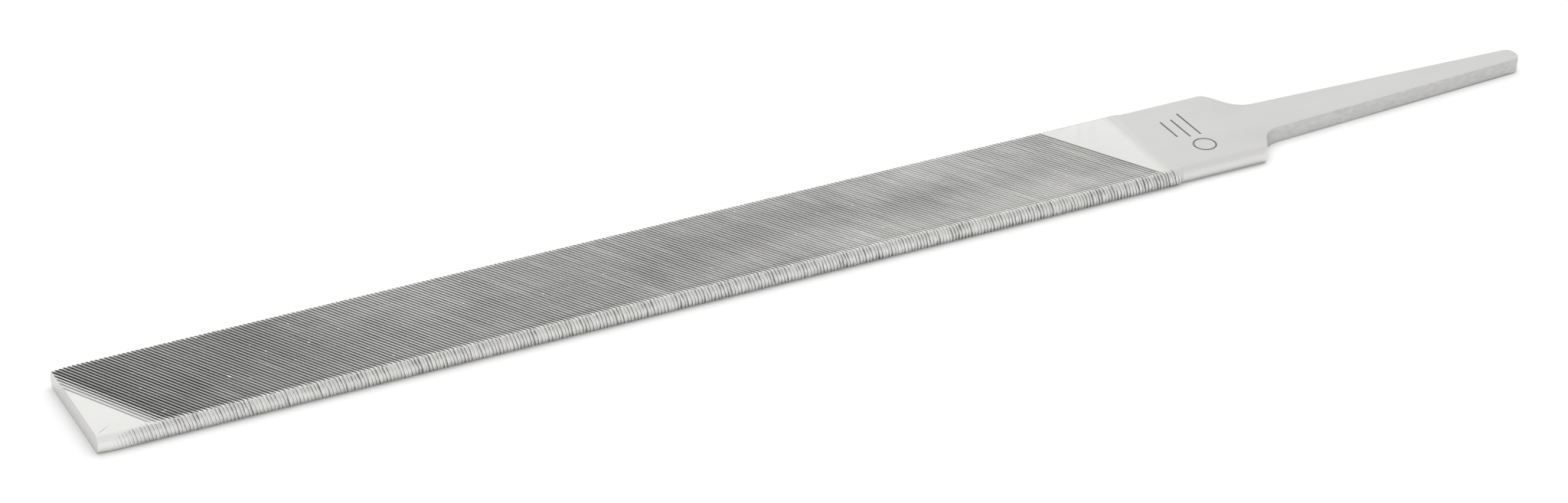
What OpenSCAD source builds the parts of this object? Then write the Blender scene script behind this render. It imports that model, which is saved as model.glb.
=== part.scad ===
// Flat file: a single-cut blade with two round edges, a bare heel and a tapered tang, all one bar of steel.
// The origin is under the middle of the whole length. +X runs from the tip to the tang and +Z is up.
// The blade, the heel and the tang meet on flat cross-sections. All sizes are in millimetres.

/* [Body] */
// Length from the tip to the shoulders
body_l = 150; // [120:5:250]
// Width across the two round edges
body_w = 16; // [14:0.5:25]
// Thickness between the two faces
body_t = 2.3; // [2.2:0.1:2.5]
// How far each round edge stands out past the flat faces
edge_bulge = 0.5; // [0.5:0.1:1]
// How far each edge draws in at the tip
tip_in = 0.25; // [0.05:0.05:0.35]
// Length over which the edges draw in at the tip
tip_lead = 3; // [1:0.5:5]

/* [Teeth] */
// Spacing of the face teeth along the file
tooth_pitch = 0.532; // [0.4:0.004:1.2]
// Angle between a tooth and the length of the file, in degrees
tooth_angle = 60; // [60:1:75]
// Depth of a full tooth
tooth_depth = 0.14; // [0.1:0.01:0.15]
// Share of the spacing that the steep cutting face takes up
face_share = 0.2; // [0.2:0.02:0.3]
// Number of shallower teeth that lead in from the tip
lead_in = 5; // [1:1:10]
// Where the first tooth crosses the middle of the face, from the tip
first_tooth = 1.6; // [1:0.1:5]
// Bare length between the last tooth and the shoulders, along the middle of the face
bare_l = 19; // [16:0.5:25]

/* [Heel] */
// Length of the heel, from where the blade ends to the shoulders
heel_l = 12; // [8:0.5:14]
// Width of the heel, which has no teeth on its edges
heel_w = 15.5; // [15:0.1:15.8]
// Slope of the shoulders away from square, in degrees
shoulder_slope = 31; // [25:1:38]
// Radius of the outer corner of each shoulder
shoulder_r = 1.2; // [0.5:0.1:1.5]
// Radius of the fillet where each shoulder meets the tang
fillet_r = 3.5; // [1:0.1:3.8]

/* [Tang] */
// Length of the tang from the shoulders to its end
tang_l = 42.6; // [30:0.1:60]
// Width of the tang at the shoulders
tang_w = 6.8; // [5:0.1:7]
// How far the tang sits off the middle at the shoulders, towards -Y
tang_off = 0.5; // [0:0.1:0.6]
// Width of the tang at its end
tang_end_w = 2.6; // [2.4:0.1:4]
// Thickness of the tang at its end
tang_end_t = 2; // [1.5:0.1:2.2]
// Radius of the corners at the end of the tang
tang_end_r = 1.1; // [0.3:0.1:1.1]

/* [Hidden] */
$fn = 64;

// Stations along the length
total_l = body_l + tang_l;
tip_x = -total_l / 2;
shoulder_x = tip_x + body_l;
heel_x = shoulder_x - heel_l;
end_x = total_l / 2;

// Cross-section: an arc of this radius closes each edge
edge_r = (pow(body_t / 2, 2) + pow(edge_bulge, 2)) / (2 * edge_bulge);

// Teeth, measured square to a tooth
tooth_step = tooth_pitch * sin(tooth_angle);
tooth_n = floor((body_l - bare_l - first_tooth) / tooth_pitch);
// Every crest stands this far below the bare face, except the outermost two, which run out above it
crest_drop = 0.02;
// A tooth line crosses the whole face at every station, so the cutting shape is this long
tooth_l = 2 * (body_l * cos(tooth_angle) + body_w);
// How far a cutting shape reaches past the metal that it cuts
over = 1;

// Plan of the heel and the tang. Each side is worked out as if it were the +Y side: side is 1 for +Y and -1 for -Y.
// The plan stands this far outside the round edges that it trims, so that the two never just touch.
clear = 0.05;
plan_y = heel_w / 2 + clear;
shoulder_dir = [sin(shoulder_slope), -cos(shoulder_slope)];
corner_out = [shoulder_x - shoulder_r * tan(shoulder_slope) / 2, plan_y];
end_corner = [end_x, tang_end_w / 2];
function root(side) = [shoulder_x, tang_w / 2 - side * tang_off];
function tang_dir(side) = unit(end_corner - root(side));
function corner_in(side) = meet(corner_out, shoulder_dir, root(side), tang_dir(side));
// The fillet touches the shoulder and the side of the tang this far from where they would meet
function fillet_turn(side) = acos(shoulder_dir * tang_dir(side));
function fillet_reach(side) = fillet_r * tan(fillet_turn(side) / 2);
function fillet_in(side) = corner_in(side) - shoulder_dir * fillet_reach(side);
function fillet_out(side) = corner_in(side) + tang_dir(side) * fillet_reach(side);
function fillet_mid(side) =
    corner_in(side) + unit(tang_dir(side) - shoulder_dir) * fillet_r / cos(fillet_turn(side) / 2);
// The tang starts where both of its sides are straight, a little past the fillets
past_fillets = 0.2;
tang_x = max(fillet_out(1)[0], fillet_out(-1)[0]) + past_fillets;

function unit(v) = v / norm(v);
function cross2(a, b) = a[0] * b[1] - a[1] * b[0];
// Where the line through p along u meets the line through q along v
function meet(p, u, q, v) = p + u * cross2(q - p, v) / cross2(u, v);

// What rounding a corner takes away, drawn with room to spare outside it. u points to the corner and v away from it.
module corner_waste(corner, u, v, r) {
    turn = acos(u * v);
    reach = r * tan(turn / 2);
    inward = unit(v - u);
    difference() {
        polygon([corner - u * reach, corner - inward * r, corner + v * reach]);
        translate(corner + inward * r / cos(turn / 2)) circle(r = r);
    }
}

// Outline of the heel and the tang from above. Circles cut the fillets into the straight-sided outline.
function plan_side(side) = [[heel_x, plan_y], corner_out, fillet_in(side), fillet_out(side), end_corner];
module rear_plan() {
    near = plan_side(-1);
    difference() {
        polygon(concat(plan_side(1), [for (i = [len(near) - 1 : -1 : 0]) [near[i][0], -near[i][1]]]));
        for (side = [1, -1])
            scale([1, side]) {
                translate(fillet_mid(side)) circle(r = fillet_r);
                corner_waste(corner_out, [1, 0], shoulder_dir, shoulder_r);
                corner_waste(end_corner, tang_dir(side), [0, -1], tang_end_r);
            }
    }
}

// The part of the rear plan between two stations, at full thickness
module rear_slab(from_x, to_x) {
    linear_extrude(height = body_t)
        intersection() {
            rear_plan();
            translate([from_x, -body_w]) square([to_x - from_x, 2 * body_w]);
        }
}

// A bar of the file's own cross-section, lying on z = 0
module bar(from_x, length, width) {
    translate([from_x, 0, 0]) rotate([90, 0, 90]) linear_extrude(height = length) section(width);
}

// Two flat faces closed by a convex arc at each edge
module section(width) {
    flat_w = width - 2 * edge_bulge;
    intersection() {
        translate([-width, 0]) square([2 * width, body_t]);
        union() {
            translate([-flat_w / 2, 0]) square([flat_w, body_t]);
            for (side = [-1, 1]) translate([side * (width / 2 - edge_r), body_t / 2]) circle(r = edge_r);
        }
    }
}

// The waste beside the tip on the +Y side, where the edge draws in. It reaches past the metal both ways.
module tip_waste() {
    edge_y = body_w / 2;
    reach = tip_lead;
    slope = tip_in / tip_lead;
    start = [tip_x - reach, edge_y - tip_in - reach * slope];
    finish = [tip_x + tip_lead + reach, edge_y + reach * slope];
    translate([0, 0, -over])
        linear_extrude(height = body_t + 2 * over) polygon([start, finish, [start[0], finish[1]]]);
}

// Everything above the saw-tooth line of the upper face: each tooth is steep towards the tip
function crest_z(i) = body_t + (i == 0 || i == tooth_n ? crest_drop : -crest_drop);
function valley_z(i) = body_t - tooth_depth * min(1, (i + 1) / lead_in);
module tooth_cut() {
    grooves = [
        for (i = [0 : tooth_n - 1])
            each [[i * tooth_step, crest_z(i)], [(i + 1 - face_share) * tooth_step, valley_z(i)]]
    ];
    last_x = tooth_n * tooth_step;
    top_z = body_t + over;
    translate([tip_x + first_tooth, 0, 0])
        rotate([90, 0, 90 - tooth_angle])
            linear_extrude(height = tooth_l, center = true)
                polygon(concat(grooves, [[last_x, crest_z(tooth_n)], [last_x, top_z], [0, top_z]]));
}

// The toothed length, from the tip to the heel. Its lower face is its upper face turned over about X.
module blade() {
    color([0.62, 0.62, 0.6])
        difference() {
            bar(tip_x, heel_x - tip_x, body_w);
            tip_waste();
            mirror([0, 1, 0]) tip_waste();
            tooth_cut();
            translate([0, 0, body_t]) rotate([180, 0, 0]) tooth_cut();
        }
}

// The bare length with the two shoulders and the fillets down to the tang
module heel() {
    color([0.85, 0.85, 0.84])
        intersection() {
            bar(heel_x, tang_x - heel_x, heel_w);
            rear_slab(heel_x, tang_x);
        }
}

// The tapered spike that a handle is driven onto, thinner towards its end
module tang() {
    thin = (body_t - tang_end_t) / 2;
    color([0.82, 0.82, 0.81])
        intersection() {
            rear_slab(tang_x, end_x);
            translate([0, body_w / 2, 0])
                rotate([90, 0, 0])
                    linear_extrude(height = body_w)
                        polygon([[tang_x, 0], [end_x, thin], [end_x, body_t - thin], [tang_x, body_t]]);
        }
}

blade();
heel();
tang();
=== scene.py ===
"""Looks of the flat file: a toothed blade, a bare heel and a tapered tang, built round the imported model."""

import math

import bmesh
import bpy
import numpy as np
from mathutils import Matrix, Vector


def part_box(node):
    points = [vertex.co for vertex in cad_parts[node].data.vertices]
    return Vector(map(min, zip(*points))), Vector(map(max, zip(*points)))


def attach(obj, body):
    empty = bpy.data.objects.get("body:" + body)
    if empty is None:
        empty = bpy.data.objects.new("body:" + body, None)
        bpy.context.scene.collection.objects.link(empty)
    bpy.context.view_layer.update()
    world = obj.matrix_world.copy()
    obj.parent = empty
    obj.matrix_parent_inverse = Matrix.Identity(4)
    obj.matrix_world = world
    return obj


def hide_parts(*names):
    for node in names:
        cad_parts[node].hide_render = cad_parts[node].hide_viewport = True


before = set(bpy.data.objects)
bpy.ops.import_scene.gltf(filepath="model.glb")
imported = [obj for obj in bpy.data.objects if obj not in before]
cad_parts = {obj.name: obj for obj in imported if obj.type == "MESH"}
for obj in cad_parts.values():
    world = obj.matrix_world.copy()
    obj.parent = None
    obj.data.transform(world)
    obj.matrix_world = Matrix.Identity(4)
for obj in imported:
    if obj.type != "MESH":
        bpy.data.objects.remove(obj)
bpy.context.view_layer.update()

MM = 0.001

# ---------------------------------------- sizes, from the frame and from the real tool

BLADE_LO, BLADE_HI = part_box("blade")
TANG_LO, TANG_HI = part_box("tang")
TIP_X, TANG_X, END_X = BLADE_LO.x, TANG_LO.x, TANG_HI.x
HEEL_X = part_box("heel")[0].x
HALF_W = BLADE_HI.y
THICK = BLADE_HI.z
MID_Z = THICK / 2
# File lengths run from the tip to the shoulders
BODY_L = 150 * MM
SHOULDER_X = TIP_X + BODY_L

# Cross-section: two flats closed by an arc at each edge
EDGE_BULGE = 0.5 * MM
EDGE_R = (MID_Z**2 + EDGE_BULGE**2) / (2 * EDGE_BULGE)
EDGE_Y = HALF_W - EDGE_R
FLAT_Y = HALF_W - EDGE_BULGE
EDGE_TURN = math.asin(MID_Z / EDGE_R)
BLEND_R, BLEND_STEPS, EDGE_STEPS = 0.7 * MM, 3, 8
# The edges draw in at the tip, and again where the bare heel starts
DRAW_IN = 0.25 * MM
TIP_LEAD, HEEL_LEAD = 3 * MM, 0.5 * MM
TIP_STEPS, HEEL_STEPS = 9, 6
# Bevel round the tip, as (distance from the tip, inset) in millimetres, and where the plain bar starts
TIP_BEVEL = [(0, 0.035), (0.012, 0.01), (0.035, 0)]
BEVEL_END = 0.2 * MM

# Face teeth. A station is where a tooth line crosses the middle of the face, measured from the tip.
PITCH = 0.532 * MM
LEAN = 1 / math.tan(math.radians(60))
FIRST, LAST = 1.6 * MM, 131.0 * MM
DEPTH = 0.135 * MM
RAKE_RUN = 0.045 * MM
LAND = 0.03 * MM
# Share of the spacing and of the depth that the gentle upper part of a tooth's back takes up
UPPER_BACK, UPPER_FALL = 0.42, 0.2
CREST_DROP = 0.015 * MM
LEAD_IN = 6
# From here out to the corner the crests rise by this much into a narrow uncut land
CORNER_FROM, CORNER_RISE = 6.9 * MM, 0.05 * MM
# The cutter reaches past both edges, and this far above the face
CUT_HALF_W, CUT_ABOVE = 9 * MM, 0.8 * MM
# Unevenness of a crest's place, of a cut's depth (as a share of it) and of a crest's height
STATION_DRIFT, DEPTH_DRIFT, CREST_DRIFT = 0.006 * MM, 0.07, 0.005 * MM
# How deep the first cut is, as a share of a lead-in step, and how high the backs of the lead-in teeth start
FIRST_RAMP, LEAD_IN_START = 0.7, 0.25 * MM
# Heights above the face of the first back, the lead-in lips and the last lip
FIRST_START, LEAD_IN_LIP, LAST_LIP = 0.3 * MM, 0.004 * MM, 0.06 * MM
# How much lower a back starts than the lip before it
BACK_STEP = 0.003 * MM

# A cut face whose normal points further towards the tip than this is a tooth's cutting face
CUTTING_LEAN = -0.45
# The face across the tip points towards it by more than this, and lies within this distance of it
END_LEAN, TIP_FACE = -0.9, 0.05 * MM

# Edge teeth
EDGE_PITCH = 0.43 * MM
EDGE_FIRST, EDGE_LAST = 1.5 * MM, 137.9 * MM
EDGE_LEAN = math.tan(math.radians(14))
EDGE_LEAD_IN, EDGE_LEAD_OUT = 10, 3
EDGE_LAND = 0.08 * MM
# How far in from each corner the two outer points of a cut lie
EDGE_RUNOUT = [0.42 * MM, 0.18 * MM]
# Depths in millimetres of a full cut at those points and at the corner, and along the edge
EDGE_FADE, EDGE_DEPTH = [-0.03, 0.03, 0.075], 0.11
EDGE_ABOVE = 0.6 * MM
EDGE_STATION_DRIFT, EDGE_DEPTH_DRIFT, EDGE_CREST_DRIFT = 0.022 * MM, 0.2, 0.008 * MM
EDGE_DEPTH_RANGE = (0.55, 1.15)
# Heights of a crest on the edge, on the face, among the lead-in teeth and at both ends
EDGE_CREST, FACE_CREST, LEAD_IN_CREST, END_CREST = 0.002 * MM, 0.02 * MM, 0.03 * MM, 0.08 * MM
# How much shallower a lead-in cut is at the corners than in the middle of the edge
LEAD_IN_FADE = 0.14 * MM
EDGE_BACK_STEP = 0.002 * MM

# Points across each set of cuts: enough to look smooth, and few enough for under 200,000 triangles
TOP_SAMPLES, UNDER_SAMPLES, NEAR_SAMPLES, FAR_SAMPLES = 25, 11, 13, 9

# Ends of the scratch beside the tip, as (x from the tip, y)
SCRATCH = ((0.3 * MM, -7.0 * MM), (2.0 * MM, -5.9 * MM))
SCRATCH_W, SCRATCH_DEPTH = 0.07 * MM, 0.035 * MM
# Share of its full size at each share of its length
SCRATCH_TAPER = [(0, 0.05), (0.3, 1), (0.7, 0.8), (1, 0.05)]

# Edges that turn by more than this many degrees stay sharp
BLADE_CREASE, BAR_CREASE = 22, 40

rng = np.random.default_rng(11)


# ---------------------------------------- small helpers

def mesh_object(name, points, faces, material=None):
    mesh = bpy.data.meshes.new(name)
    mesh.from_pydata([tuple(p) for p in points], [], faces)
    mesh.validate()
    if material:
        mesh.materials.append(material)
    piece = bpy.data.objects.new(name, mesh)
    bpy.context.scene.collection.objects.link(piece)
    return piece


def outward(piece):
    """Turns every face of a closed mesh outwards."""
    bm = bmesh.new()
    bm.from_mesh(piece.data)
    bmesh.ops.recalc_face_normals(bm, faces=bm.faces)
    bm.to_mesh(piece.data)
    bm.free()
    return piece


def loft(name, rings, material):
    """A closed solid through rings that all have the same number of points."""
    n = len(rings[0])
    faces = [tuple(range(n)), tuple(range(len(rings) * n - 1, (len(rings) - 1) * n - 1, -1))]
    for k in range(len(rings) - 1):
        for i in range(n):
            j = (i + 1) % n
            faces.append((k * n + i, k * n + j, (k + 1) * n + j, (k + 1) * n + i))
    return outward(mesh_object(name, np.concatenate(rings), faces, material))


def slab(name, inner, outer, material):
    """A closed solid between two grids of points of the same shape, (lines, samples, 3)."""
    lines, samples = inner.shape[:2]
    size = lines * samples
    at = np.arange(size).reshape(lines, samples)
    a, b, c, d = (q.ravel() for q in (at[:-1, :-1], at[1:, :-1], at[1:, 1:], at[:-1, 1:]))
    faces = np.stack([a, b, c, d], 1).tolist() + (np.stack([d, c, b, a], 1) + size).tolist()
    rim = [*at[0], *at[1:, -1], *at[-1, -2::-1], *at[-2:0:-1, 0]]
    for p, q in zip(rim, rim[1:] + rim[:1]):
        faces.append((p, q, q + size, p + size))
    points = np.concatenate([inner.reshape(-1, 3), outer.reshape(-1, 3)])
    return outward(mesh_object(name, points, faces, material))


def wander(rows, samples, knots, size):
    """Random rows that drift smoothly: each runs straight between a few random heights."""
    heights = rng.normal(0, size, (rows, knots))
    at = np.linspace(0, knots - 1, samples)
    low = np.minimum(at.astype(int), knots - 2)
    share = at - low
    share = share * share * (3 - 2 * share)
    return heights[:, low] * (1 - share) + heights[:, low + 1] * share


def cut(piece, cutters):
    """Cuts closed meshes out of a closed mesh. A cut face keeps its cutter's material."""
    for cutter in cutters:
        step = piece.modifiers.new("cut", "BOOLEAN")
        step.operation = "DIFFERENCE"
        step.solver = "MANIFOLD"
        step.material_mode = "TRANSFER"
        step.object = cutter
        bpy.context.view_layer.update()
        seen = piece.evaluated_get(bpy.context.evaluated_depsgraph_get())
        result = bpy.data.meshes.new_from_object(seen)
        piece.modifiers.clear()
        old, piece.data = piece.data, result
        bpy.data.meshes.remove(old)
        bpy.data.objects.remove(cutter)
    piece.data.name = piece.name
    return piece


def soft_normals(piece, degrees):
    """Smooth shading that keeps every edge sharper than this."""
    piece.data.polygons.foreach_set("use_smooth", [True] * len(piece.data.polygons))
    piece.data.set_sharp_from_angle(angle=math.radians(degrees))


# ---------------------------------------- materials

# Steel is a little warmer than grey
TINT = (1, 0.995, 0.975)
WHITE = (1, 1, 1, 1)
CLOUD_DETAIL, CLOUD_STRETCH, CLOUD_TURN = 4.0, (0.55, 1, 1), 25
# Fine scratches run along the file
GRAIN_SCALE, GRAIN_DETAIL, GRAIN_STRETCH = 2500, 3.0, (0.04, 1, 1)
GRAIN_DEPTH, ROUGH_DRIFT = 0.02 * MM, 0.05
# Scale and thresholds of the painted glints: white spots mixed into the colour, standing in for light caught
# on burrs
GLINT_SCALE, GLINT_FROM, GLINT_FULL = 1500, 0.84, 0.86


def steel(name, shade, rough, grain, mottle, cloud, change=None, painted_glints=False):
    """Bare steel. shade is its mean grey, rough its roughness and grain the strength of its fine scratches.
    mottle is how far its grey drifts and cloud the size in millimetres of the patches that it drifts over.
    change is (start, finish, grey): the grey that it turns to between two stations, measured from the tip.
    The last argument adds painted glints: small white spots mixed into the colour, standing in for light
    caught on burrs in the crests."""
    mat = bpy.data.materials.new(name)
    mat.use_nodes = True
    nodes, links = mat.node_tree.nodes, mat.node_tree.links
    shader = nodes["Principled BSDF"]
    shader.inputs["Metallic"].default_value = 1.0
    place = nodes.new("ShaderNodeTexCoord").outputs["Object"]

    def noise(scale, detail, stretch, turn=0.0):
        mapping = nodes.new("ShaderNodeMapping")
        mapping.inputs["Scale"].default_value = stretch
        mapping.inputs["Rotation"].default_value = (0, 0, math.radians(turn))
        links.new(place, mapping.inputs["Vector"])
        tex = nodes.new("ShaderNodeTexNoise")
        tex.inputs["Scale"].default_value = scale
        tex.inputs["Detail"].default_value = detail
        links.new(mapping.outputs["Vector"], tex.inputs["Vector"])
        return tex.outputs["Fac"]

    def spread(value, start, finish, low, high):
        scale = nodes.new("ShaderNodeMapRange")
        scale.inputs["From Min"].default_value = start
        scale.inputs["From Max"].default_value = finish
        scale.inputs["To Min"].default_value = low
        scale.inputs["To Max"].default_value = high
        links.new(value, scale.inputs["Value"])
        return scale.outputs["Result"]

    def grey(fac, level):
        tone = nodes.new("ShaderNodeValToRGB")
        tone.color_ramp.elements[0].position = 0.3
        tone.color_ramp.elements[1].position = 0.7
        for stop, side in zip(tone.color_ramp.elements, (1 - mottle, 1 + mottle)):
            stop.color = (*(level * side * tint for tint in TINT), 1)
        links.new(fac, tone.inputs["Fac"])
        return tone.outputs["Color"]

    def blend(share, first, second=None):
        """Mixes in a second colour, or white."""
        mix = nodes.new("ShaderNodeMix")
        mix.data_type = "RGBA"
        links.new(share, mix.inputs["Factor"])
        links.new(first, mix.inputs["A"])
        if second is None:
            mix.inputs["B"].default_value = WHITE
        else:
            links.new(second, mix.inputs["B"])
        return mix.outputs["Result"]

    patches = noise(1 / (cloud * MM), CLOUD_DETAIL, CLOUD_STRETCH, CLOUD_TURN)
    colour = grey(patches, shade)
    if change:
        start, finish, level = change
        split = nodes.new("ShaderNodeSeparateXYZ")
        links.new(place, split.inputs["Vector"])
        past = spread(split.outputs["X"], TIP_X + start, TIP_X + finish, 0, 1)
        colour = blend(past, colour, grey(patches, level))
    # Painted glints: white mixed into the colour in small spots, standing in for light caught on burrs in the
    # crests
    if painted_glints:
        glints = spread(noise(GLINT_SCALE, 0.0, (1, 1, 1)), GLINT_FROM, GLINT_FULL, 0, 1)
        colour = blend(glints, colour)
    links.new(colour, shader.inputs["Base Color"])

    scratches = noise(GRAIN_SCALE, GRAIN_DETAIL, GRAIN_STRETCH)
    drift = spread(scratches, 0.25, 0.75, rough - ROUGH_DRIFT, rough + ROUGH_DRIFT)
    links.new(drift, shader.inputs["Roughness"])

    bump = nodes.new("ShaderNodeBump")
    bump.inputs["Strength"].default_value = grain
    bump.inputs["Distance"].default_value = GRAIN_DEPTH
    links.new(scratches, bump.inputs["Height"])
    links.new(bump.outputs["Normal"], shader.inputs["Normal"])
    return mat


# The ground surface turns satin where the grinding wheel stopped. The teeth are painted darker towards the
# tip: painted shade, standing in for the darker light that they catch there.
ground = steel("bare_steel", 0.80, 0.34, 0.2, 0.015, 6, (135.2 * MM, 136.6 * MM, 0.69))
# The tooth backs get painted glints
toothed = steel("tooth_backs", 0.38, 0.24, 0.25, 0.17, 14, (0, 45 * MM, 0.62), painted_glints=True)
# The cutting faces are a little darker than the backs: painted shade on the steep faces
cutting = steel("tooth_cutting_faces", 0.36, 0.22, 0.1, 0.32, 9, (0, 45 * MM, 0.58))
edge_steel = steel("edge_tooth_backs", 0.66, 0.28, 0.25, 0.06, 1)
# The edge teeth's cutting faces are painted much darker than their backs: painted shade in the deep grooves
edge_cutting_shade = steel("edge_tooth_cutting_faces_shaded", 0.38, 0.32, 0.1, 0.3, 1)
stamped = steel("stamped_steel", 0.22, 0.5, 0.3, 0.2, 0.5)
satin = steel("satin_steel", 0.69, 0.36, 0.2, 0.015, 6)
rough_steel = steel("tang_sides", 0.54, 0.45, 0.6, 0.08, 0.5)


def assign(piece, material, chosen):
    """Gives the faces that are chosen another material."""
    if material.name not in piece.data.materials:
        piece.data.materials.append(material)
    index = piece.data.materials.find(material.name)
    for face in piece.data.polygons:
        if chosen(face):
            face.material_index = index


# ---------------------------------------- the blade

def section(inset=0.0, draw=0.0):
    """Half-width of the bar and height above its middle, from the upper face down to the lower one.
    A fillet blends each face into the round edge. inset moves every side inwards and draw moves both edges
    inwards."""
    turn = np.radians(90) - EDGE_TURN
    reach = BLEND_R * math.tan(turn / 2)
    arc = np.linspace(EDGE_TURN - reach / EDGE_R, 0, EDGE_STEPS)
    y, z = EDGE_Y + (EDGE_R - inset) * np.cos(arc), (EDGE_R - inset) * np.sin(arc)
    top = MID_Z - inset
    lead = FLAT_Y - reach
    fade = np.linspace(0, 1, BLEND_STEPS + 1)[:-1]
    # A parabola that leaves the face level and runs into the arc
    blend_y = lead * (1 - fade) ** 2 + 2 * FLAT_Y * fade * (1 - fade) + y[0] * fade**2
    blend_z = top * (1 - fade) ** 2 + 2 * top * fade * (1 - fade) + z[0] * fade**2
    y, z = np.concatenate([blend_y, y]) - draw, np.concatenate([blend_z, z])
    return np.concatenate([y, y[-2::-1]]), np.concatenate([z, -z[-2::-1]])


def outline(inset=0.0, draw=0.0):
    """The bar's cross-section as (y, z) points, counted round from the upper face at the +Y edge."""
    y, z = section(inset, draw)
    return np.column_stack([np.concatenate([y, -y[::-1]]), MID_Z + np.concatenate([z, z[::-1]])])


def drawn_in(x):
    """How far each edge is drawn in at a station along the blade."""
    tip = np.clip(1 - (x - TIP_X) / TIP_LEAD, 0, 1) ** 2
    back = np.clip(1 - (HEEL_X - x) / HEEL_LEAD, 0, 1) ** 2
    return DRAW_IN * (tip + back)


def blank():
    """The blade before its teeth are cut, with a fine bevel round the tip and drawn in at both ends."""
    stations = [(TIP_X + x * MM, inset * MM) for x, inset in TIP_BEVEL]
    stations += [(x, 0) for x in np.linspace(TIP_X + BEVEL_END, TIP_X + TIP_LEAD, TIP_STEPS)]
    stations += [(x, 0) for x in np.linspace(HEEL_X - HEEL_LEAD, HEEL_X, HEEL_STEPS)]
    rings = [np.insert(outline(inset, drawn_in(x)), 0, x, axis=1) for x, inset in stations]
    return loft("file_blade", rings, ground)


def face_teeth(name, samples):
    """What the chisel takes out of the upper face. Each groove has a gentle side and then, away from the tip,
    the steep cutting face of the next tooth."""
    count = int((LAST - FIRST) / PITCH)
    y = np.linspace(-CUT_HALF_W, CUT_HALF_W, samples)
    ramp = np.minimum(1, (np.arange(count) + FIRST_RAMP) / LEAD_IN)[:, None]
    station = FIRST + np.arange(count + 1)[:, None] * PITCH + wander(count + 1, len(y), 5, STATION_DRIFT)
    depth = DEPTH * ramp * (1 + wander(count, len(y), 6, DEPTH_DRIFT))
    burr = CREST_DROP + np.abs(wander(count + 1, len(y), 12, CREST_DRIFT))
    corner_land = CORNER_RISE * np.clip((np.abs(y) - CORNER_FROM) / (FLAT_Y - CORNER_FROM), 0, 2) ** 2
    # The first teeth leave a bare land between them, so their backs start above the face
    start = corner_land - burr
    start[:LEAD_IN] += LEAD_IN_START * (1 - ramp[:LEAD_IN])
    start[0] = FIRST_START
    lip = corner_land - burr
    lip[:LEAD_IN] = LEAD_IN_LIP
    lip[-1] = LAST_LIP
    lines, heights = [station[0] + np.zeros_like(y)], [start[0]]
    for i in range(count):
        # The back of a tooth falls gently at first and then steeply to the valley
        lines += [station[i] + UPPER_BACK * PITCH, station[i + 1] - LAND - RAKE_RUN, station[i + 1] - LAND]
        heights += [corner_land - burr[i] - UPPER_FALL * depth[i], -depth[i], lip[i + 1]]
        if i + 1 < count:
            lines.append(station[i + 1])
            heights.append(start[i + 1] - BACK_STEP)
    x = TIP_X + np.array(lines) - y * LEAN
    inner = np.stack([x, np.broadcast_to(y, x.shape), THICK + np.array(heights)], 2)
    outer = inner.copy()
    outer[:, :, 2] = THICK + CUT_ABOVE
    return slab(name, inner, outer, toothed)


def edge_teeth(name, samples):
    """What the chisel takes out of the -Y edge. Its cuts run out a little way onto both faces."""
    turn = np.linspace(EDGE_TURN, -EDGE_TURN, samples)
    on_face = [-(FLAT_Y - r) for r in EDGE_RUNOUT]
    y = np.concatenate([on_face, -EDGE_Y - EDGE_R * np.cos(turn), on_face[::-1]])
    z = np.concatenate([[THICK] * 2, MID_Z + EDGE_R * np.sin(turn), [0] * 2])
    ny = np.concatenate([[0, 0], -np.cos(turn), [0, 0]])
    nz = np.concatenate([[1, 1], np.sin(turn), [-1, -1]])
    along = np.concatenate([[0], np.cumsum(np.hypot(np.diff(y), np.diff(z)))])
    # Depth of a full cut, and how far it is from the middle of the edge
    full = np.concatenate([EDGE_FADE, np.full(samples - 2, EDGE_DEPTH), EDGE_FADE[::-1]]) * MM
    off = np.abs(np.linspace(-1, 1, len(y)))
    on_edge = np.concatenate([[0, 0], np.ones(samples), [0, 0]])

    count = int((EDGE_LAST - EDGE_FIRST) / EDGE_PITCH)
    order = np.arange(count)
    ramp = np.minimum(1, (order + 1) / EDGE_LEAD_IN)
    ramp = np.minimum(ramp, (count - order) / EDGE_LEAD_OUT)[:, None]
    drift = wander(count + 1, len(y), 5, EDGE_STATION_DRIFT)
    station = EDGE_FIRST + np.arange(count + 1)[:, None] * EDGE_PITCH + drift
    uneven = (1 + wander(count, len(y), 5, EDGE_DEPTH_DRIFT)) * rng.uniform(*EDGE_DEPTH_RANGE, (count, 1))
    depth = full * ramp * uneven - (1 - ramp) * LEAD_IN_FADE * off**2
    crest = np.where(on_edge, EDGE_CREST + wander(count + 1, len(y), 5, EDGE_CREST_DRIFT), FACE_CREST)
    crest_ramp = np.vstack([ramp, ramp[-1:]])
    crest = crest * crest_ramp + (1 - crest_ramp) * LEAD_IN_CREST
    crest[0], crest[-1] = END_CREST, END_CREST

    lines, heights = [station[0]], [crest[0]]
    for i in range(count):
        lines += [station[i + 1] - EDGE_LAND - RAKE_RUN, station[i + 1] - EDGE_LAND]
        heights += [-depth[i], crest[i + 1]]
        if i + 1 < count:
            lines.append(station[i + 1])
            heights.append(crest[i + 1] - EDGE_BACK_STEP)
    x = TIP_X + np.array(lines) + EDGE_LEAN * (along - along.mean())
    heights = np.array(heights)
    inner = np.stack([x, y + ny * heights + drawn_in(x), z + nz * heights], 2)
    away = [np.broadcast_to(place + normal * EDGE_ABOVE, x.shape) for place, normal in ((y, ny), (z, nz))]
    outer = np.stack([x, *away], 2)
    return slab(name, inner, outer, edge_steel)


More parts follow.
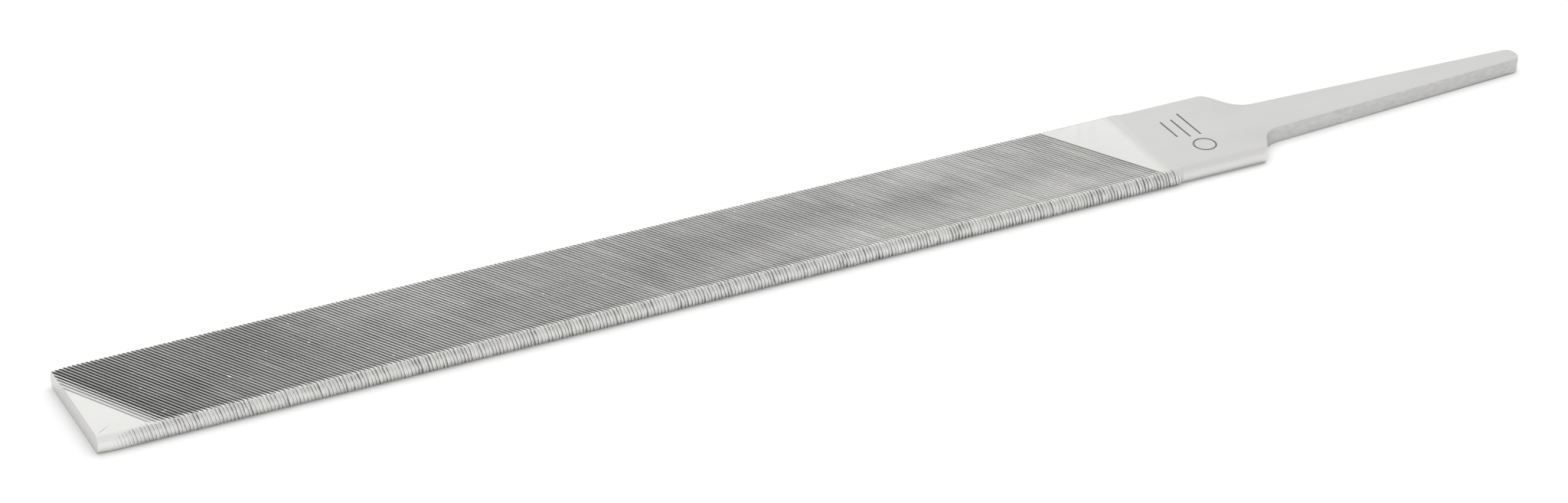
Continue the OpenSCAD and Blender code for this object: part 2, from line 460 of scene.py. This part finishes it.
def scratch(name):
    """What a fine scratch takes out of the upper face beside the tip."""
    first, last = np.array(SCRATCH)
    along = (last - first) / np.linalg.norm(last - first)
    across = np.array([-along[1], along[0]])
    rings = []
    corners = [(-SCRATCH_W, SCRATCH_W), (0, -SCRATCH_DEPTH), (SCRATCH_W, SCRATCH_W)]
    for share, size in SCRATCH_TAPER:
        centre = first + (last - first) * share + (TIP_X, 0)
        ring = [[*(centre + across * side * size), THICK + height * size] for side, height in corners]
        rings.append(np.array(ring))
    return loft(name, rings, stamped)


def turn_over(piece):
    """Turns a cutter half round about the file's length, because the file looks the same that way up."""
    raised = Matrix.Translation((0, 0, MID_Z))
    piece.data.transform(raised @ Matrix.Rotation(math.pi, 4, "X") @ raised.inverted())
    return piece


def blade():
    cutters = [
        face_teeth("cut_top", TOP_SAMPLES),
        turn_over(face_teeth("cut_under", UNDER_SAMPLES)),
        scratch("cut_scratch"),
        edge_teeth("cut_near", NEAR_SAMPLES),
        turn_over(edge_teeth("cut_far", FAR_SAMPLES)),
    ]
    piece = cut(blank(), cutters)
    slots = [material.name for material in piece.data.materials]
    # Faces that point towards the tip take the darker cutting materials: painted shade on the steep faces
    for backs, fronts in ((toothed, cutting), (edge_steel, edge_cutting_shade)):
        index = slots.index(backs.name)
        assign(piece, fronts, lambda face: face.material_index == index and face.normal.x < CUTTING_LEAN)
    assign(piece, satin, lambda face: face.normal.x < END_LEAN and face.center.x < TIP_X + TIP_FACE)
    soft_normals(piece, BLADE_CREASE)
    return piece


# ---------------------------------------- the heel and the tang

SHOULDER_SLOPE = math.radians(31)
# How far ahead of a shoulder its straight side would meet the edge of the heel
CORNER_BACK = 0.35 * MM
FILLET_R, END_R = 3.5 * MM, 1.1 * MM
HEEL_HALF = HALF_W - DRAW_IN
# Half-width of the tang, how far its root sits off the middle, and how far back the -Y shoulder is
TANG_HALF, END_HALF, TANG_OFF = 3.4 * MM, 1.3 * MM, 0.5 * MM
SHOULDER_BACK = 0.4 * MM
# Radius of each shoulder's outer corner: the +Y one is worn rounder
SHOULDER_R = {1: 3.0 * MM, -1: 1.0 * MM}
END_THIN = 0.15 * MM
WALL_SOFT = 0.12 * MM
# A wall is steeper than this
WALL_LEAN = 0.35
# The stamped mark, in x from the tip and y
STAMP_DEPTH, STROKE = 0.04 * MM, 0.22 * MM
STAMP_LOW, STAMP_HIGH = THICK - STAMP_DEPTH, THICK + STAMP_DEPTH
RING_AT, RING_R, RING_STEPS = np.array([143.6, -3.6]) * MM, 1.5 * MM, 40
# Each bar as its x and its two ends in y
BARS = np.array([(141.4, -0.6, 3.4), (142.9, -1.2, 3.4), (144.4, -1.2, 4.4)]) * MM
# Points round a corner and a fillet, and along the straight sides of the heel and the tang
CORNER_POINTS, FILLET_POINTS, HEEL_POINTS, TANG_POINTS = 9, 15, 14, 42
# Two stations closer than this are the same
SAME = 1e-9


def rounded_corner(corner, before, after, r, steps):
    """Points along the arc that rounds a corner. before points to the corner and after away from it."""
    turn = math.acos(float(before @ after))
    inward = (after - before) / np.linalg.norm(after - before)
    centre = corner + inward * r / math.cos(turn / 2)
    start = corner - before * r * math.tan(turn / 2) - centre
    finish = corner + after * r * math.tan(turn / 2) - centre
    way = math.copysign(turn, start[0] * finish[1] - start[1] * finish[0])
    return [centre + np.array([
        start[0] * math.cos(a) - start[1] * math.sin(a),
        start[0] * math.sin(a) + start[1] * math.cos(a),
    ]) for a in np.linspace(0, way, steps)]


def plan_side(side):
    """One side of the outline from above, from the heel's start to the tang's end, as (x, y) points with
    y positive. side is 1 for the +Y side and -1 for the -Y side."""
    shoulder_x = SHOULDER_X + (SHOULDER_BACK if side < 0 else 0)
    down = np.array([math.sin(SHOULDER_SLOPE), -math.cos(SHOULDER_SLOPE)])
    root = np.array([SHOULDER_X, TANG_HALF - side * TANG_OFF])
    end = np.array([END_X, END_HALF])
    back = (end - root) / np.linalg.norm(end - root)
    outer = np.array([shoulder_x - CORNER_BACK, HEEL_HALF])
    gap = root - outer
    reach = (gap[0] * back[1] - gap[1] * back[0]) / (down[0] * back[1] - down[1] * back[0])
    inner = outer + down * reach
    corner = rounded_corner(outer, np.array([1.0, 0.0]), down, SHOULDER_R[side], CORNER_POINTS)
    straight = np.linspace(HEEL_X, corner[0][0], HEEL_POINTS)[:-1]
    points = [np.array([x, HEEL_HALF]) for x in straight] + corner
    points += rounded_corner(inner, down, back, FILLET_R, FILLET_POINTS)
    start = points[-1]
    corner = rounded_corner(end, back, np.array([0.0, -1.0]), END_R, CORNER_POINTS)
    # One point lies where the heel meets the tang
    cross = start + (corner[0] - start) * (TANG_X - start[0]) / (corner[0][0] - start[0])
    points += [cross + (corner[0] - cross) * share for share in np.linspace(0, 1, TANG_POINTS)[:-1]]
    return np.array(points + corner)


def stack(name, sides, levels, material):
    """A closed solid from its +Y and -Y outlines, at levels of (height, inset, widest half-width)."""
    rings = []
    for height, inset, widest in levels:
        halves = []
        for points, way in zip(sides, (1, -1)):
            step = np.gradient(points, axis=0)
            normal = np.column_stack([-step[:, 1], step[:, 0]]) / np.linalg.norm(step, axis=1)[:, None]
            x = np.clip(points[:, 0] - normal[:, 0] * inset, points[0, 0], None)
            y = np.minimum(points[:, 1] - normal[:, 1] * inset, widest)
            x[0] = points[0, 0]
            halves.append(np.column_stack([x, y * way, np.full(len(x), height)]))
        rings.append(np.concatenate([halves[0], halves[1][::-1]]))
    return loft(name, rings, material)


def soft_levels(soft):
    """Heights from the top down, each with how far a wall's softened edges draw it in there and the bar's
    half-width."""
    half_width, height = section(draw=DRAW_IN)
    depth = MID_Z - np.abs(height)
    inset = np.where(depth < soft, soft - np.sqrt(np.clip(soft**2 - (soft - depth) ** 2, 0, None)), 0)
    return list(zip(MID_Z + height, inset, half_width))


def is_wall(face):
    """Whether a face stands upright inside the shoulders, where the sides are left as they were sheared."""
    inside = face.center.x > SHOULDER_X - 2 * CORNER_BACK and abs(face.center.y) < HEEL_HALF - EDGE_BULGE
    return inside and abs(face.normal.z) < WALL_LEAN


def at_height(loop, z):
    """An outline of (x, y) points, from the tip, laid at one height."""
    return [(TIP_X + x, y, z) for x, y in loop]


def prism(name, loop):
    """A closed solid of one outline that reaches into the heel's upper face."""
    return loft(name, np.array([at_height(loop, STAMP_LOW), at_height(loop, STAMP_HIGH)]), stamped)


def tube(name, outer, inner):
    """A closed ring, between two outlines of as many points each, that reaches into the heel's upper face."""
    rings = [at_height(outer, z) for z in (STAMP_LOW, STAMP_HIGH)]
    rings += [at_height(inner, z) for z in (STAMP_HIGH, STAMP_LOW)]
    n = len(outer)
    faces = []
    for k in range(4):
        for i in range(n):
            j = (i + 1) % n
            m = (k + 1) % 4
            faces.append((k * n + i, k * n + j, m * n + j, m * n + i))
    return outward(mesh_object(name, np.concatenate(rings), faces, stamped))


def stamp():
    """A plain mark in place of the maker's: a ring and three bars across the heel."""
    turn = np.linspace(0, 2 * math.pi, RING_STEPS + 1)[:-1]
    circle = np.column_stack([np.cos(turn), np.sin(turn)])
    cutters = [tube("cut_ring", RING_AT + circle * RING_R, RING_AT + circle * (RING_R - STROKE))]
    for x, low, high in BARS:
        cutters.append(prism("cut_bar", [(x, low), (x + STROKE, low), (x + STROKE, high), (x, high)]))
    return cutters


def heel(sides):
    parts = [points[points[:, 0] < TANG_X + SAME] for points in sides]
    piece = cut(stack("file_heel", parts, soft_levels(WALL_SOFT), satin), stamp())
    assign(piece, rough_steel, is_wall)
    soft_normals(piece, BAR_CREASE)
    return piece


def tang(sides):
    parts = [points[points[:, 0] > TANG_X - SAME] for points in sides]
    piece = stack("file_tang", parts, soft_levels(WALL_SOFT), satin)
    # Thinner towards its end
    for v in piece.data.vertices:
        share = (v.co.x - TANG_X) / (END_X - TANG_X)
        v.co.z = MID_Z + (v.co.z - MID_Z) * (1 - share * END_THIN / MID_Z)
    assign(piece, rough_steel, is_wall)
    soft_normals(piece, BAR_CREASE)
    return piece


# ---------------------------------------- camera, light and floor

CAMERA_AT = (-213.463 * MM, -383.035 * MM, 256.729 * MM)
CAMERA_AZIMUTH, CAMERA_DIP, CAMERA_ROLL = 61.874, 30.654, 1.424
CAMERA_LENS, SENSOR_W = 98.3, 36
# Brightness of the surroundings by angle from the middle of the dark card
CARD_AZIMUTH, CARD_ELEVATION = 145, 20
SURROUND = [(180, 0.92), (80, 0.98), (62, 1.1), (40, 1.1), (24, 0.0)]
FLOOR_HALF = 3.0


def camera():
    data = bpy.data.cameras.new("camera")
    data.lens, data.sensor_width = CAMERA_LENS, SENSOR_W
    data.clip_start, data.clip_end = 0.01, 50
    seen = bpy.data.objects.new("camera", data)
    bpy.context.scene.collection.objects.link(seen)
    seen.matrix_world = (
        Matrix.Translation(CAMERA_AT)
        @ Matrix.Rotation(math.radians(CAMERA_AZIMUTH - 90), 4, "Z")
        @ Matrix.Rotation(math.radians(90 - CAMERA_DIP), 4, "X")
        @ Matrix.Rotation(math.radians(CAMERA_ROLL), 4, "Z")
    )
    bpy.context.scene.camera = seen


def heading(azimuth, elevation):
    """A direction. Azimuth 0 is +X and 90 is +Y."""
    a, e = math.radians(azimuth), math.radians(elevation)
    return math.cos(a) * math.cos(e), math.sin(a) * math.cos(e), math.sin(e)


def softbox(name, azimuth, elevation, distance, size, power):
    """A soft light that faces the file from this heading."""
    data = bpy.data.lights.new(name, "AREA")
    data.shape, data.size, data.size_y, data.energy = "RECTANGLE", size[0], size[1], power
    lamp = bpy.data.objects.new(name, data)
    # It lights the floor and leaves no streak on the metal
    lamp.visible_glossy = False
    bpy.context.scene.collection.objects.link(lamp)
    lamp.matrix_world = (
        Matrix.Translation([distance * k for k in heading(azimuth, elevation)])
        @ Matrix.Rotation(math.radians(azimuth + 90), 4, "Z")
        @ Matrix.Rotation(math.radians(90 - elevation), 4, "X")
    )


def floor():
    corners = [(x * FLOOR_HALF, y * FLOOR_HALF, 0) for x, y in ((-1, -1), (1, -1), (1, 1), (-1, 1))]
    plane = mesh_object("floor", corners, [(0, 1, 2, 3)])
    mat = bpy.data.materials.new("floor")
    mat.use_nodes = True
    shader = mat.node_tree.nodes["Principled BSDF"]
    shader.inputs["Base Color"].default_value = (0.86, 0.86, 0.86, 1)
    shader.inputs["Roughness"].default_value = 0.9
    plane.data.materials.append(mat)


def studio():
    """Soft light from all round, with a dark card at the tip's end that the cutting faces mirror."""
    world = bpy.data.worlds.new("studio")
    world.use_nodes = True
    nodes, links = world.node_tree.nodes, world.node_tree.links
    place = nodes.new("ShaderNodeTexCoord")
    toward = nodes.new("ShaderNodeVectorMath")
    toward.operation = "DOT_PRODUCT"
    toward.inputs[1].default_value = heading(CARD_AZIMUTH, CARD_ELEVATION)
    links.new(place.outputs["Generated"], toward.inputs[0])
    tone = nodes.new("ShaderNodeValToRGB")
    ramp = tone.color_ramp.elements
    while len(ramp) < len(SURROUND):
        ramp.new(0.5)
    for stop, (angle, level) in zip(ramp, SURROUND):
        stop.position = max(0, math.cos(math.radians(angle)))
        stop.color = (level, level, level, 1)
    links.new(toward.outputs["Value"], tone.inputs["Fac"])
    links.new(tone.outputs["Color"], nodes["Background"].inputs["Color"])
    bpy.context.scene.world = world
    bpy.context.scene.view_settings.view_transform = "Standard"
    softbox("top_light", azimuth=60, elevation=80, distance=1.3, size=(1.2, 1.2), power=8)


camera()
studio()
floor()

outlines = [plan_side(1), plan_side(-1)]
for piece, node, slot in [
    (blade(), "blade", "toothed_steel"),
    (heel(outlines), "heel", "ground_steel"),
    (tang(outlines), "tang", "tang_steel"),
]:
    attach(piece, "root")
    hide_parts(node)
